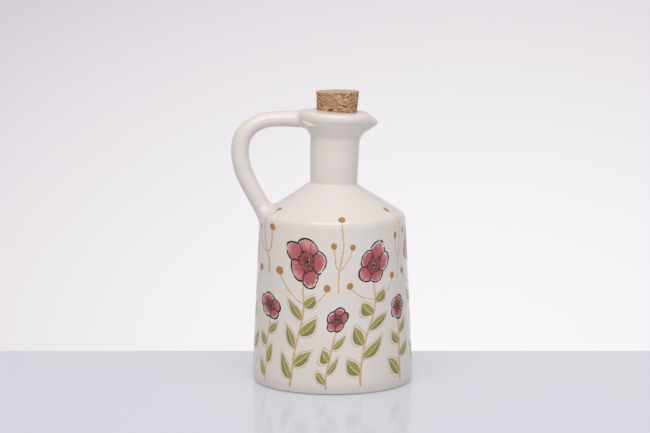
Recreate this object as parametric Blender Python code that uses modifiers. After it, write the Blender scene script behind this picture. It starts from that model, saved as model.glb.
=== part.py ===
"""An oil cruet: a glazed ceramic bottle with a leaning neck, a pulled beak, a loop handle and a tapered cork.

Metres, +Z up. The origin is the centre of the flat base, +X points to the beak and -X to the handle.
"""

import math

import bmesh
import bpy
from mathutils import Matrix, Vector

# Body
FOOT_RADIUS = 0.0503
FOOT_ROUNDING = 0.0024
SHOULDER_RADIUS = 0.0452
SHOULDER_HEIGHT = 0.1042
SHOULDER_ROUNDING = 0.0048
BODY_WALL = 0.0046
FLOOR = 0.006
FLOOR_ROUNDING = 0.006

# Cork, which sets the bore of the neck that it seals
CORK_TOP_RADIUS = 0.01335
CORK_LENGTH = 0.032
CORK_SHOWING = 0.0118
CORK_TAPER = math.radians(4.5)
CORK_EDGE_ROUNDING = 0.0005
CORK_GAP = 0.0003

# Neck: heights along its leaning axis are measured from where its side meets the shoulder's slope
NECK_LEAN = math.radians(2.4)
NECK_SHIFT = 0.0007
NECK_FOOT_HEIGHT = 0.1239
NECK_WALL = 0.0035
NECK_FLARE = 0.0005
NECK_SKIRT = 0.0018
NECK_SKIRT_RISE = 0.0007
NECK_SKIRT_EDGE = 0.0006
NECK_SKIRT_ROUNDING = 0.0018

# Collar round the mouth
COLLAR_OVERHANG = 0.0083
COLLAR_TOP = 0.0443
COLLAR_HEIGHT = 0.0072
COLLAR_THROAT_DROP = 0.0086
COLLAR_TOP_ROUNDING = 0.0046
COLLAR_EDGE_ROUNDING = 0.0026
COLLAR_THROAT_ROUNDING = 0.007
MOUTH_ROUNDING = 0.0008

# Beak: how the collar's section changes where it is pulled out to pour
BEAK_PULL = 0.0042
BEAK_TIP_RISE = 0.0008
BEAK_THROAT_RISE = 0.001
BEAK_TOP_INSET = 0.0024
BEAK_TOP_DROP = 0.0006
BEAK_TOP_ROUNDING = 0.0065
BEAK_TIP_ROUNDING = 0.0012
BEAK_SOFTENING = math.radians(5)
CHANNEL_DEPTH = 0.0012
CHANNEL_HALF_WIDTH = 0.0034

# Handle
HANDLE_THICKNESS = 0.0111
HANDLE_OVERHANG = 0.012
HANDLE_TOP_DROP = 0.005
HANDLE_BITE = 0.006
HANDLE_FOOT_INSET = 0.0036

# Gap between pieces that are luted together, and how finely round shapes are divided
LUTING_GAP = 0.0003
OVERRUN = 0.004
TURN_STEPS = 64
CORK_STEPS = 48
ARC_STEPS = 5
HANDLE_CURVE_STEPS = 5
HANDLE_SIDE_STEPS = 6
WELD = 0.00001

# Colours as linear red, green, blue
GLAZE_COLOUR = (0.78, 0.74, 0.69)
GLAZE_ROUGHNESS = 0.15
CORK_COLOUR = (0.42, 0.24, 0.12)
CORK_ROUGHNESS = 0.85

# Heights on the neck's axis, and the radii that follow the cork
CORK_TOP = COLLAR_TOP + CORK_SHOWING
CORK_BOTTOM = CORK_TOP - CORK_LENGTH
BORE_RADIUS = CORK_TOP_RADIUS - CORK_LENGTH * math.tan(CORK_TAPER) + CORK_GAP
NECK_RADIUS = BORE_RADIUS + NECK_WALL
COLLAR_RADIUS = NECK_RADIUS + COLLAR_OVERHANG
COLLAR_EDGE = COLLAR_TOP - COLLAR_HEIGHT
COLLAR_THROAT = COLLAR_EDGE - COLLAR_THROAT_DROP
BEAK_REACH = COLLAR_RADIUS + BEAK_PULL
NECK_ORIGIN = Vector((NECK_SHIFT, 0, NECK_FOOT_HEIGHT))
NECK_AXIS = Vector((math.sin(NECK_LEAN), 0, math.cos(NECK_LEAN)))

# How steeply the wall closes towards the shoulder, and the shoulder rises towards the neck
WALL_TAPER = (FOOT_RADIUS - SHOULDER_RADIUS) / SHOULDER_HEIGHT
SHOULDER_RISE = (NECK_FOOT_HEIGHT - SHOULDER_HEIGHT) / (SHOULDER_RADIUS - NECK_RADIUS)


def cork_radius(height):
    """Radius of the cork's side at a height along the neck's axis."""
    return CORK_TOP_RADIUS - (CORK_TOP - height) * math.tan(CORK_TAPER)


def slope_height(radius):
    """Height of the shoulder's slope at a radius."""
    return SHOULDER_HEIGHT + (SHOULDER_RADIUS - radius) * SHOULDER_RISE


def rounded(corners):
    """The outline through (radius, height, rounding) corners, with an arc at each corner that has a rounding."""
    points = []
    for index, (radius, height, rounding) in enumerate(corners):
        corner = Vector((radius, height))
        if not rounding:
            points.append(corner)
            continue
        back = (Vector(corners[index - 1][:2]) - corner).normalized()
        on = (Vector(corners[index + 1][:2]) - corner).normalized()
        half = back.angle(on) / 2
        middle = corner + (back + on).normalized() * (rounding / math.sin(half))
        start = corner + back * (rounding / math.tan(half)) - middle
        end = corner + on * (rounding / math.tan(half)) - middle
        swing = math.atan2(start.cross(end), start.dot(end))
        for step in range(ARC_STEPS + 1):
            turn = swing * step / ARC_STEPS
            across = start.x * math.cos(turn) - start.y * math.sin(turn)
            up = start.x * math.sin(turn) + start.y * math.cos(turn)
            points.append(middle + Vector((across, up)))
    return points


def moved_in(corners, inset):
    """The same corners with each side between them moved in by inset, for corners that run axis to axis."""
    sides = [(Vector(after[:2]) - Vector(before[:2])).normalized() for before, after in zip(corners, corners[1:])]
    normals = [Vector((-side.y, side.x)) for side in sides]
    moved = [(0, corners[0][1] - inset / normals[0].y, 0)]
    for index, (radius, height, rounding) in enumerate(corners[1:-1], start=1):
        first = normals[index - 1]
        second = normals[index]
        corner = Vector((radius, height)) - (first + second) * (inset / (1 + first.dot(second)))
        bends_out = sides[index - 1].cross(sides[index]) < 0
        moved.append((corner.x, corner.y, rounding - inset if bends_out else rounding + inset))
    moved.append((0, corners[-1][1] - inset / normals[-1].y, 0))
    return moved


def body_side(inner_radius):
    """Corners down the body's outer side, from the slope at inner_radius to the middle of the base."""
    return [
        (inner_radius, slope_height(inner_radius), 0),
        (SHOULDER_RADIUS, SHOULDER_HEIGHT, SHOULDER_ROUNDING),
        (FOOT_RADIUS, 0, FOOT_ROUNDING),
        (0, 0, 0),
    ]


def body_outline():
    """The body's whole section: up the cavity from the middle of the floor, then down the outer side."""
    apex, shoulder, foot, _ = moved_in(body_side(0), BODY_WALL)
    cavity = [
        (0, FLOOR, 0),
        (foot[0] - (FLOOR - foot[1]) * WALL_TAPER, FLOOR, FLOOR_ROUNDING),
        (shoulder[0], shoulder[1], SHOULDER_ROUNDING),
        (BORE_RADIUS, apex[1] - BORE_RADIUS * SHOULDER_RISE, 0),
    ]
    return rounded(cavity + body_side(BORE_RADIUS))


def collar_side(pull):
    """Corners down the collar's outer side. pull is 0 on the round rim and 1 at the beak's tip."""
    return [
        (
            COLLAR_RADIUS - BEAK_TOP_INSET * pull,
            COLLAR_TOP - BEAK_TOP_DROP * pull,
            COLLAR_TOP_ROUNDING + (BEAK_TOP_ROUNDING - COLLAR_TOP_ROUNDING) * pull,
        ),
        (
            COLLAR_RADIUS + BEAK_PULL * pull,
            COLLAR_EDGE + BEAK_TIP_RISE * pull,
            COLLAR_EDGE_ROUNDING + (BEAK_TIP_ROUNDING - COLLAR_EDGE_ROUNDING) * pull,
        ),
        (
            NECK_RADIUS + NECK_FLARE,
            COLLAR_THROAT + BEAK_THROAT_RISE * pull,
            COLLAR_THROAT_ROUNDING,
        ),
    ]


def neck_outline(pull):
    """The neck's section: up the bore, over the mouth and the collar, and down to the skirt on the shoulder."""
    skirt_radius = NECK_RADIUS + NECK_SKIRT
    skirt_drop = NECK_SKIRT * SHOULDER_RISE
    bottom = -skirt_drop - OVERRUN
    bore = [
        (BORE_RADIUS, bottom, 0),
        (BORE_RADIUS, CORK_BOTTOM, 0),
        (cork_radius(COLLAR_TOP) + CORK_GAP, COLLAR_TOP, MOUTH_ROUNDING),
    ]
    skirt = [
        (NECK_RADIUS, NECK_SKIRT_RISE, NECK_SKIRT_ROUNDING),
        (skirt_radius, NECK_SKIRT_EDGE - skirt_drop, 0),
        (skirt_radius, bottom, 0),
    ]
    return rounded(bore + collar_side(pull) + skirt)


def beak_pull(angle):
    """The share of the full pull at an angle from the beak: straight sides from the round rim to the tip."""
    spread = math.acos(COLLAR_RADIUS / BEAK_REACH)

    def pulled(away):
        return COLLAR_RADIUS / math.cos(max(0, spread - away)) - COLLAR_RADIUS

    return pulled(math.hypot(angle, BEAK_SOFTENING)) / pulled(BEAK_SOFTENING)


def skirt_lift(angle):
    """How far the skirt of the leaning neck is raised at an angle, so that it follows the shoulder's slope."""
    radius = NECK_RADIUS + NECK_SKIRT
    level = -NECK_SKIRT * SHOULDER_RISE
    spot = Vector((radius * math.cos(angle), radius * math.sin(angle), level))
    spot = NECK_ORIGIN + Matrix.Rotation(NECK_LEAN, 3, "Y") @ spot
    return (slope_height(spot.xy.length) - spot.z) / NECK_AXIS.z


def channel_drop(point):
    """How far the pouring channel lowers a point of the mouth's top side."""
    if point.x <= 0:
        return 0
    return CHANNEL_DEPTH * math.exp(-((point.y / CHANNEL_HALF_WIDTH) ** 2))


def material(name, colour, roughness):
    """A plain Principled material."""
    made = bpy.data.materials.new(name)
    made.use_nodes = True
    shader = made.node_tree.nodes["Principled BSDF"]
    shader.inputs["Base Color"].default_value = (*colour, 1)
    shader.inputs["Roughness"].default_value = roughness
    shader.inputs["Metallic"].default_value = 0
    return made


def place(name, data, collection):
    """A new object that holds this data, in the collection."""
    made = bpy.data.objects.new(name, data)
    collection.objects.link(made)
    return made


def lean(thing):
    """Stands an object on the neck's axis, its own Z along it."""
    thing.location = NECK_ORIGIN
    thing.rotation_euler = (0, NECK_LEAN, 0)


def turned(name, outline, steps, collection):
    """A solid turned about Z from an outline that runs down its outer side."""
    mesh = bpy.data.meshes.new(name)
    links = [(index, index + 1) for index in range(len(outline) - 1)]
    mesh.from_pydata([(point.x, 0, point.y) for point in outline], links, [])
    made = place(name, mesh, collection)
    screw = made.modifiers.new("turn", "SCREW")
    screw.axis = "Z"
    screw.steps = steps
    screw.render_steps = steps
    screw.use_merge_vertices = True
    screw.merge_threshold = WELD
    screw.use_smooth_shade = True
    return made


def cut(thing, cutter):
    """Takes the cutter's shape out of thing."""
    boolean = thing.modifiers.new(cutter.name, "BOOLEAN")
    boolean.operation = "DIFFERENCE"
    boolean.solver = "EXACT"
    boolean.object = cutter


def as_cutter(thing):
    """Marks an object as a guide that is no piece of the cruet."""
    thing.hide_render = True
    thing.display_type = "WIRE"
    return thing


def make_body_form(collection):
    """A guide: the body without its cavity, grown by the luting gap, to fit what stands on the shoulder."""
    outline = rounded(moved_in(body_side(0), -LUTING_GAP))
    return as_cutter(turned("body_form", outline, TURN_STEPS, collection))


def make_collar_form(collection):
    """A guide: the neck and its round collar without the bore, grown by the luting gap, to fit the handle."""
    corners = [
        (0, COLLAR_TOP, 0),
        *collar_side(0),
        (NECK_RADIUS, 0, 0),
        (0, 0, 0),
    ]
    outline = rounded(moved_in(corners, -LUTING_GAP))
    form = as_cutter(turned("collar_form", outline, TURN_STEPS, collection))
    lean(form)
    return form


def make_body(collection):
    """Floor, wall and shoulder, hollow, with the hole that the neck stands over."""
    body = turned("body", body_outline(), TURN_STEPS, collection)
    body.data.materials.append(material("body_glaze", GLAZE_COLOUR, GLAZE_ROUGHNESS))
    return body


def make_neck(collection, body_form):
    """The neck, its collar and its beak: sections lofted round the neck's axis, then fitted to the shoulder."""
    shape = bmesh.new()
    skirt_top = NECK_SKIRT_RISE + NECK_SKIRT_ROUNDING
    sections = []
    for step in range(TURN_STEPS):
        angle = 2 * math.pi * step / TURN_STEPS
        section = []
        for point in neck_outline(beak_pull(math.remainder(angle, 2 * math.pi))):
            spot = Vector((point.x * math.cos(angle), point.x * math.sin(angle), point.y))
            if point.y > COLLAR_EDGE + BEAK_TIP_RISE + BEAK_TIP_ROUNDING:
                spot.z -= channel_drop(spot)
            if point.y < skirt_top:
                spot.z += skirt_lift(angle)
            section.append(shape.verts.new(spot))
        sections.append(section)
    for section, following in zip(sections, sections[1:] + sections[:1]):
        for index in range(len(section)):
            after = (index + 1) % len(section)
            shape.faces.new((section[index], section[after], following[after], following[index]))
    bmesh.ops.recalc_face_normals(shape, faces=shape.faces)
    mesh = bpy.data.meshes.new("neck")
    shape.to_mesh(mesh)
    shape.free()
    mesh.shade_smooth()
    neck = place("neck", mesh, collection)
    lean(neck)
    neck.data.materials.append(material("neck_glaze", GLAZE_COLOUR, GLAZE_ROUGHNESS))
    cut(neck, body_form)
    return neck


def handle_route():
    """Points along the handle's middle line, each with its thickness as a share of the full thickness."""
    reach = -(SHOULDER_RADIUS + HANDLE_OVERHANG)
    top = NECK_ORIGIN + NECK_AXIS * (COLLAR_TOP - HANDLE_TOP_DROP) + Vector((-COLLAR_RADIUS, 0, 0))
    foot = Vector((HANDLE_FOOT_INSET - SHOULDER_RADIUS, 0, SHOULDER_HEIGHT))
    top_share = 0.95
    foot_share = 0.97
    upper_shares = [
        (0.24, 1.0, 0.82),
        (0.58, 0.984, 0.85),
        (0.79, 0.926, 0.92),
        (0.965, 0.793, 1.0),
        (1.0, 0.666, 1.0),
    ]
    lower_shares = [
        (0.89, 0.472, 0.99),
        (0.475, 0.2325, 0.97),
    ]
    route = [(top + Vector((HANDLE_BITE, 0, 0)), top_share)]
    for start, shares in ((top, upper_shares), (foot, lower_shares)):
        for out_share, up_share, thickness_share in shares:
            across = start.x + (reach - start.x) * out_share
            height = foot.z + (top.z - foot.z) * up_share
            route.append((Vector((across, 0, height)), thickness_share))
    route.append((foot, foot_share))
    return route


def make_handle(collection, body_form, collar_form):
    """The handle's bent rod, its two ends fitted to the collar and to the shoulder."""
    route = handle_route()
    guide = bpy.data.curves.new("handle_guide", "CURVE")
    guide.dimensions = "3D"
    guide.resolution_u = HANDLE_CURVE_STEPS
    guide.bevel_depth = HANDLE_THICKNESS / 2
    guide.bevel_resolution = HANDLE_SIDE_STEPS
    guide.use_fill_caps = True
    spline = guide.splines.new("BEZIER")
    spline.bezier_points.add(len(route) - 1)
    for point, (middle, thickness_share) in zip(spline.bezier_points, route):
        point.co = middle
        point.radius = thickness_share
        point.handle_left_type = "AUTO"
        point.handle_right_type = "AUTO"
    rod = place("handle_guide", guide, collection)
    graph = bpy.context.evaluated_depsgraph_get()
    mesh = bpy.data.meshes.new_from_object(rod.evaluated_get(graph))
    mesh.name = "handle"
    shape = bmesh.new()
    shape.from_mesh(mesh)
    bmesh.ops.remove_doubles(shape, verts=shape.verts, dist=WELD)
    bmesh.ops.recalc_face_normals(shape, faces=shape.faces)
    shape.to_mesh(mesh)
    shape.free()
    mesh.shade_smooth()
    handle = place("handle", mesh, collection)
    handle.matrix_world = rod.matrix_world
    bpy.data.objects.remove(rod)
    handle.data.materials.append(material("handle_glaze", GLAZE_COLOUR, GLAZE_ROUGHNESS))
    cut(handle, body_form)
    cut(handle, collar_form)
    return handle


def make_cork(collection):
    """The tapered cork, hung from an empty on the neck's axis, along which it lifts out."""
    corners = [
        (0, CORK_TOP, 0),
        (CORK_TOP_RADIUS, CORK_TOP, CORK_EDGE_ROUNDING),
        (cork_radius(CORK_BOTTOM), CORK_BOTTOM, CORK_EDGE_ROUNDING),
        (0, CORK_BOTTOM, 0),
    ]
    cork = turned("cork_stopper", rounded(corners), CORK_STEPS, collection)
    cork.data.materials.append(material("cork", CORK_COLOUR, CORK_ROUGHNESS))
    axis = place("cork_lift_axis", None, collection)
    lean(axis)
    cork.parent = axis
    return cork


def main():
    for thing in list(bpy.data.objects):
        bpy.data.objects.remove(thing)
    pieces = bpy.data.collections.new("oil_cruet")
    guides = bpy.data.collections.new("cutters")
    for collection in (pieces, guides):
        bpy.context.scene.collection.children.link(collection)
    body_form = make_body_form(guides)
    collar_form = make_collar_form(guides)
    make_body(pieces)
    make_neck(pieces, body_form)
    make_handle(pieces, body_form, collar_form)
    make_cork(pieces)


main()
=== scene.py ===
"""How the oil cruet looks: a glazed and painted ceramic bottle with a cork, on a glossy pale table.

Metres, +Z up. The origin is the centre of the flat base, +X points to the beak, -X to the handle
and -Y to the front.
"""

import math

import bpy
import numpy as np
from mathutils import Matrix, Vector

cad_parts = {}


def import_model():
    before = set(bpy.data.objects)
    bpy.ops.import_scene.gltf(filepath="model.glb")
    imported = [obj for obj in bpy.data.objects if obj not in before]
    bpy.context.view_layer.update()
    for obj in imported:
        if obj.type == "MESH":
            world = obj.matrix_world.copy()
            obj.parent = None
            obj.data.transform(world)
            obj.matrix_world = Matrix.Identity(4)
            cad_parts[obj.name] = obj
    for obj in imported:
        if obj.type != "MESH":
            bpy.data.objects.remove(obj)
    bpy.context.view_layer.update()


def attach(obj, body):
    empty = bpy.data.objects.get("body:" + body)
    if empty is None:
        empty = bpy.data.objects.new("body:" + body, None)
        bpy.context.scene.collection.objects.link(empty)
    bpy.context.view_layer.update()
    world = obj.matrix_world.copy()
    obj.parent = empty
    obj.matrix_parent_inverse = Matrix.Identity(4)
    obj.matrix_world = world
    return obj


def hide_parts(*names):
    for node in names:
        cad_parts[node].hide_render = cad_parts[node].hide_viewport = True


MM = 0.001

# Body, which follows the CAD part's, with foot and shoulder eased
FOOT_RADIUS = 50.15 * MM
FOOT_ROUNDING = 1.5 * MM
FOOT_EASE_ROUNDING = 45 * MM
FOOT_EASE_HEIGHT = 6.5 * MM
FOOT_EASE_INSET = 0.7 * MM
SHOULDER_RADIUS = 45.2 * MM
SHOULDER_HEIGHT = 104.2 * MM
SHOULDER_ROUNDING = 3.8 * MM
SHOULDER_EASE_ROUNDING = 9 * MM
SHOULDER_EASE_DROP = 2.9 * MM
SHOULDER_EASE_INSET = 0.55 * MM
BODY_WALL = 4.6 * MM
FLOOR = 6 * MM
FLOOR_ROUNDING = 6 * MM
CAVITY_CORNER_ROUNDING = 4.8 * MM

# Unglazed ring that the body stands on
FOOT_RING_INSET = 2.2 * MM
FOOT_RING_HEIGHT = 0.35 * MM
FOOT_RING_ROUNDING = 0.2 * MM
CLAY_TOP = 0.5 * MM

# Neck, whose heights are measured along its leaning axis from where it meets the shoulder
NECK_LEAN = math.radians(2.4)
NECK_ORIGIN = Vector((0.7 * MM, 0, 123.9 * MM))
NECK_RADIUS = 14.63 * MM
NECK_FOOT_ROUNDING = 1.6 * MM
NECK_FOOT_DROP = 0.4 * MM
BORE_RADIUS = 11.13 * MM
BORE_ROUNDING = 2 * MM
MOUTH_ROUNDING = 1 * MM
LEAN_START_RADIUS = 26 * MM
LEAN_FULL_RADIUS = 15.6 * MM

# Collar's corners: radius, height and rounding of throat, edge, top and inner bend in millimetres
COLLAR_CORNERS = np.array(((15.1, 28.5, 4.8), (22.93, 39.8, 4.2), (22.58, 43, 2.3), (19.33, 43.9, 9))) * MM
COLLAR_RADIUS, COLLAR_EDGE, _ = COLLAR_CORNERS[1]
COLLAR_TOP = 44.4 * MM

# How much further out and how much higher these corners and the mouth are towards the handle
COLLAR_SWELL = np.array((0.7, 1.1, 1.1, 1.1)) * MM
COLLAR_RISE = np.array((0, 0, 0.6, 0.6)) * MM
MOUTH_RISE = 0.85 * MM

# Beak: the same corners where it is pulled out to pour, and how wide its lower and upper two spread
BEAK_CORNERS = np.array(((15.1, 29.5, 9.3), (26.73, 37.9, 1.7), (18.93, 44.4, 7.5), (15.6, 44.42, 9))) * MM
BEAK_SPREAD = math.radians(21)
BEAK_TOP_SPREAD = math.radians(40)

# Channel in the beak's top
CHANNEL_DEPTH = 1.3 * MM
CHANNEL_HALF_WIDTH = 3.4 * MM
CHANNEL_FADE_HEIGHT = 3 * MM
CHANNEL_FULL_RADIUS = 20 * MM
CHANNEL_END_RADIUS = 25 * MM

# Handle: the route runs from the collar's side over the loop to the shoulder's corner
HANDLE_THICKNESS = 11.1 * MM
HANDLE_OVAL = 1.22
HANDLE_OVERHANG = 12 * MM
HANDLE_TOP_DROP = 5.05 * MM
HANDLE_BITE = 6 * MM
HANDLE_FOOT_INSET = 3.6 * MM
HANDLE_END_INSET = 7.6 * MM
HANDLE_END_DROP = 7.6 * MM
HANDLE_ROOT_SHARE = 1.02
HANDLE_FOOT_SHARE = 0.97
HANDLE_SHARP = math.radians(70)
HANDLE_ROUND = 72
HANDLE_ROWS = 150

# Fillets: how the handle's ends spread onto the collar and the shoulder
FOOT_FILLET = 5.5 * MM
TOP_FILLET = 3 * MM
FILLET_LANDING_SHARE = 0.8
FILLET_PULL_SHARE = 0.58
FILLET_ROWS = 16
TOP_SEARCH_SHARE = 0.2
FOOT_SEARCH_SHARE = 0.7
SEARCH_ROWS = 120
CAP_SHARES = (0.9, 0.6, 0.3)
CAP_DEPTH = 0.8 * MM
SUNK = 0.06 * MM
ROUTE_STEP = 0.05 * MM
LINE_STEP = 0.2 * MM

# Smeared clay at the handle's root: degrees from the beak, then height, half width and depth in mm
SMEAR_KNOTS = (
    (-172, 35.6, 1.5, 0.9),
    (-163, 35.7, 1.2, 0.5),
    (-154, 35.2, 1.3, 0.9),
    (-146, 34.4, 1.6, 1.5),
    (-139, 33.5, 1.6, 1.6),
    (-132, 32.9, 1.1, 1.0),
    (-126, 32.8, 0.25, 0.15),
)
SMEAR_REACH = 26 * MM
SMEAR_ROUND = 24
SMEAR_ROWS = 40

# Cork
CORK_TOP_RADIUS = 13.3 * MM
CORK_TOP = 55.9 * MM
CORK_SLANT = math.radians(2.5)
CORK_SLANT_DEPTH = 8 * MM
CORK_LENGTH = 32 * MM
CORK_TAPER = math.radians(4.5)
CORK_GAP = 0.3 * MM
CORK_EDGE = 0.5 * MM
CORK_EDGE_WEAR = 0.08 * MM
CORK_EDGE_SHARE = 0.965
CORK_ROUND = 200
CORK_SIDE_ROWS = 130
CORK_END_ROWS = 40

# How much smoother than the cork's side the knife has left its two ends
CORK_TOP_CUT = 0.7
CORK_LOW_CUT = 0.8

# Cork's bark: its growth waves, and the least and most length, width and depth of its holes in mm
CORK_SEED = 11
BARK_OCTAVES = 4
BARK_WAVE = 3 * MM
BARK_WAVE_COUNT = 5
BARK_WAVE_SHARE = 0.07
BARK_GRAIN_DEPTH = 0.05 * MM
BARK_GRAIN_SHARE = 0.1
STREAK_COUNT = 46
STREAK_SPANS = ((0.9, 3.6), (0.3, 0.75), (0.25, 0.6))
PIT_COUNT = 170
PIT_SPANS = ((0.25, 0.5), (0.22, 0.36), (0.1, 0.22))
HOLE_TILT = 0.3
HOLE_RIM_SHARE = 0.45
HOLE_DARK_DEPTH = 0.35 * MM
CORK_DARK_NAME = "cork_pits"

# Painting, laid out in millimetres on the wall unrolled: a tall and a short plant in each repeat
PAINT_REPEATS = 6
PAINT_RADIUS = 47.5
PAINT_DRIFT = (34, 26)
PAINT_WANDER = (9, 10)
MIDDLE_SPREAD = 9
BLOSSOM_SPREAD = 1.2
SHORT_HALF_WIDTH = 10
PETALS = 5
LINE_SOFTNESS = 0.12
STEM_HALF_WIDTH = 0.78
STEM_THINNING = 0.0035

# Where the painting ends near the neck and on the handle's foot, and how high the glaze is darkened
# towards the foot: painted shade there, and clay showing through thinner glaze
PAINT_NECK_GAP = 6 * MM
HANDLE_PAINT_TOP = 101.5 * MM
FOOT_SHADE_AND_TINT_HEIGHT = 9 * MM

# Plants: the height and radius of the blossom, and the length and depth of the stem's sway
TALL_PLANT = (80, 12.4, 15, 1.1)
SHORT_PLANT = (47, 7.3, 12, 1)

# Leaves: middle height of the first pair, step to the next, how far above and below it a pair's two are,
# index of the last pair, length, how much shorter each next pair is, and width
TALL_LEAVES = (15, 18, 4.5, 2, 16.5, 1.4, 3.3)
SHORT_LEAVES = (11, 15, 3.4, 1, 12, 0, 2.5)

# Berries: distance from the stem, height and radius
ARM_BERRY = (17.4, 71.5, 2.0)
CURL_BERRY = (6.6, 96, 1.7)
SPRAY_BERRY = (0, 113, 2.1)

# Glaze and clay colours
GLAZE = (0.792, 0.743, 0.712)
GLAZE_WARM = (0.806, 0.746, 0.692)
CLAY = (0.66, 0.61, 0.55)
CLAY_GRIT = (0.56, 0.50, 0.43)

# Painting's colours
TAN = (0.69, 0.50, 0.28)
TAN_DEEP = (0.58, 0.36, 0.16)
OLIVE = (0.32, 0.315, 0.055)
OLIVE_DARK = (0.22, 0.22, 0.035)
BERRY = (0.48, 0.235, 0.085)
BERRY_EDGE = (0.38, 0.17, 0.06)
HALO = (0.80, 0.68, 0.45)
ROSE = (0.47, 0.08, 0.1)
ROSE_DARK = (0.25, 0.035, 0.045)
ROSE_PALE = (0.68, 0.33, 0.33)
GOLD = (0.66, 0.38, 0.12)
INK = (0.035, 0.012, 0.012)

# Cork's colours
CORK_BROWN = (0.60, 0.35, 0.19)
CORK_DEEP = (0.45, 0.235, 0.115)
CORK_STREAK = (0.20, 0.075, 0.03)
CORK_PALE = (0.76, 0.53, 0.33)
CORK_FLECK = (0.80, 0.58, 0.38)
CORK_FLECK_DARK = (0.22, 0.09, 0.04)
CORK_CUT = (0.80, 0.62, 0.46)
CORK_HOLE = (0.11, 0.045, 0.02)

# How finely the vessel is divided, and how much of a side the roundings at its ends may take up
VESSEL_ROUND = 224
ARC_ROWS = 12
LONG_SIDE_ROWS = 44
SHORT_SIDE_ROWS = 8
SKIN_SIDE_ROWS = 12
ROOM_SHARE = 0.96
LEAST_REACH = 0.06 * MM

# Photograph's camera
LENS_MM = 120
SENSOR_MM = 36
CAMERA_PLACE = Vector((-4.7 * MM, -1332 * MM, 290.5 * MM))
CAMERA_DIP = math.radians(8.04)

# Stage
TABLE_BACK = 84.5 * MM
TABLE_FRONT = -1500 * MM
TABLE_HALF_WIDTH = 1500 * MM
TABLE_THICKNESS = 20 * MM
BACKDROP_PLACE = 900 * MM
BACKDROP_HALF_WIDTH = 1900 * MM
BACKDROP_LOW = -1000 * MM
BACKDROP_HIGH = 1300 * MM
BACKDROP_BRIGHT_X = 145 * MM
BACKDROP_BRIGHT_Z = -195 * MM
BACKDROP_FADE_X = 748 * MM
BACKDROP_FADE_Z = 504.8 * MM
BACKDROP_MOST_FADE = 1.3
BACKDROP_BRIGHT = (0.939, 0.922, 0.947, 1)
BACKDROP_FADED = (0.672, 0.631, 0.672, 1)
TABLE_COLOUR = (0.47, 0.48, 0.53, 1)
TABLE_GLOW = (0.2, 0.2, 0.215, 1)

# Lights: name, place, aim, width, height, how bright the face looks, and colour
LIGHTS = (
    ("softbox", (-0.07, -0.62, 0.85), (0, 0, 0.12), 0.95, 0.65, 2.87, (0.98, 0.935, 1)),
    ("low_front", (0, -2.2, 0.5), (0, 0, 0.1), 2.4, 0.8, 0.32, (1, 0.78, 0.6)),
    ("overhead", (0, -0.1, 1.5), (0, 0, 0.1), 1.2, 0.7, 0.72, (0.855, 0.905, 1)),
    ("right_fill", (2.0, -1.3, 0.9), (0, 0, 0.1), 1.4, 1.5, 0.5, (0.615, 0.765, 1)),
)
ROOM_COLOUR = (0.97, 1, 0.89, 1)
ROOM_STRENGTH = 0.443

# Slopes that follow from the sizes above
WALL_TAPER = (FOOT_RADIUS - SHOULDER_RADIUS) / SHOULDER_HEIGHT
SHOULDER_RISE = (NECK_ORIGIN.z - SHOULDER_HEIGHT) / (SHOULDER_RADIUS - NECK_RADIUS)
SHOULDER_RUN = math.hypot(1, SHOULDER_RISE)
NECK_TURN = np.array(Matrix.Rotation(NECK_LEAN, 3, "Y"))


# Outlines


def mixed(start, end, share):
    """What lies this share of the way from start to end."""
    return start + (end - start) * share


def unit(vectors):
    """Vectors scaled to length one."""
    return vectors / np.linalg.norm(vectors, axis=-1, keepdims=True)


def fitting_shares(corners):
    """How much of each corner's rounding its sides have room for, from 0 to 1."""
    spots = np.array([corner[:2] for corner in corners])
    runs = np.diff(spots, axis=0)
    lengths = np.linalg.norm(runs, axis=1)
    ways = runs / lengths[:, None]
    reaches = np.zeros(len(corners))
    for index in range(1, len(corners) - 1):
        turn = math.acos(np.clip(ways[index - 1] @ ways[index], -1, 1))
        reaches[index] = corners[index][2] * math.tan(turn / 2)
    room = ROOM_SHARE * lengths / np.maximum(reaches[:-1] + reaches[1:], LEAST_REACH)
    room = np.minimum(1, room)
    return np.minimum(np.append(room, 1), np.insert(room, 0, 1))


def rounded(corners, rows):
    """The outline through (radius, height, rounding) corners. rows[i] divides the side after corner i."""
    shares = fitting_shares(corners)
    arcs = []
    for index, (radius, height, rounding) in enumerate(corners):
        corner = np.array((radius, height))
        if index in (0, len(corners) - 1) or not rounding:
            arcs.append([corner])
            continue
        rounding *= shares[index]
        back = unit(np.array(corners[index - 1][:2]) - corner)
        on = unit(np.array(corners[index + 1][:2]) - corner)
        half = math.acos(np.clip(back @ on, -1, 1)) / 2
        reach = rounding / math.tan(half)
        middle = corner + unit(back + on) * (rounding / math.sin(half))
        start = corner + back * reach - middle
        end = corner + on * reach - middle
        swing = math.atan2(start[0] * end[1] - start[1] * end[0], start @ end)
        turns = swing * np.arange(ARC_ROWS + 1) / ARC_ROWS
        beside = np.array((-start[1], start[0]))
        arcs.append(middle + np.outer(np.cos(turns), start) + np.outer(np.sin(turns), beside))
    points = []
    for arc, after, count in zip(arcs, arcs[1:], rows):
        points += list(arc[:-1]) + list(np.linspace(arc[-1], after[0], count, endpoint=False))
    return np.array(points + [arcs[-1][-1]])


def cork_radius(height):
    """Radius of the cork's side at a height along the neck's axis."""
    return CORK_TOP_RADIUS - (CORK_TOP - height) * math.tan(CORK_TAPER)


def slope_height(radius):
    """Height of the shoulder's slope at a radius."""
    return SHOULDER_HEIGHT + (SHOULDER_RADIUS - radius) * SHOULDER_RISE


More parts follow.
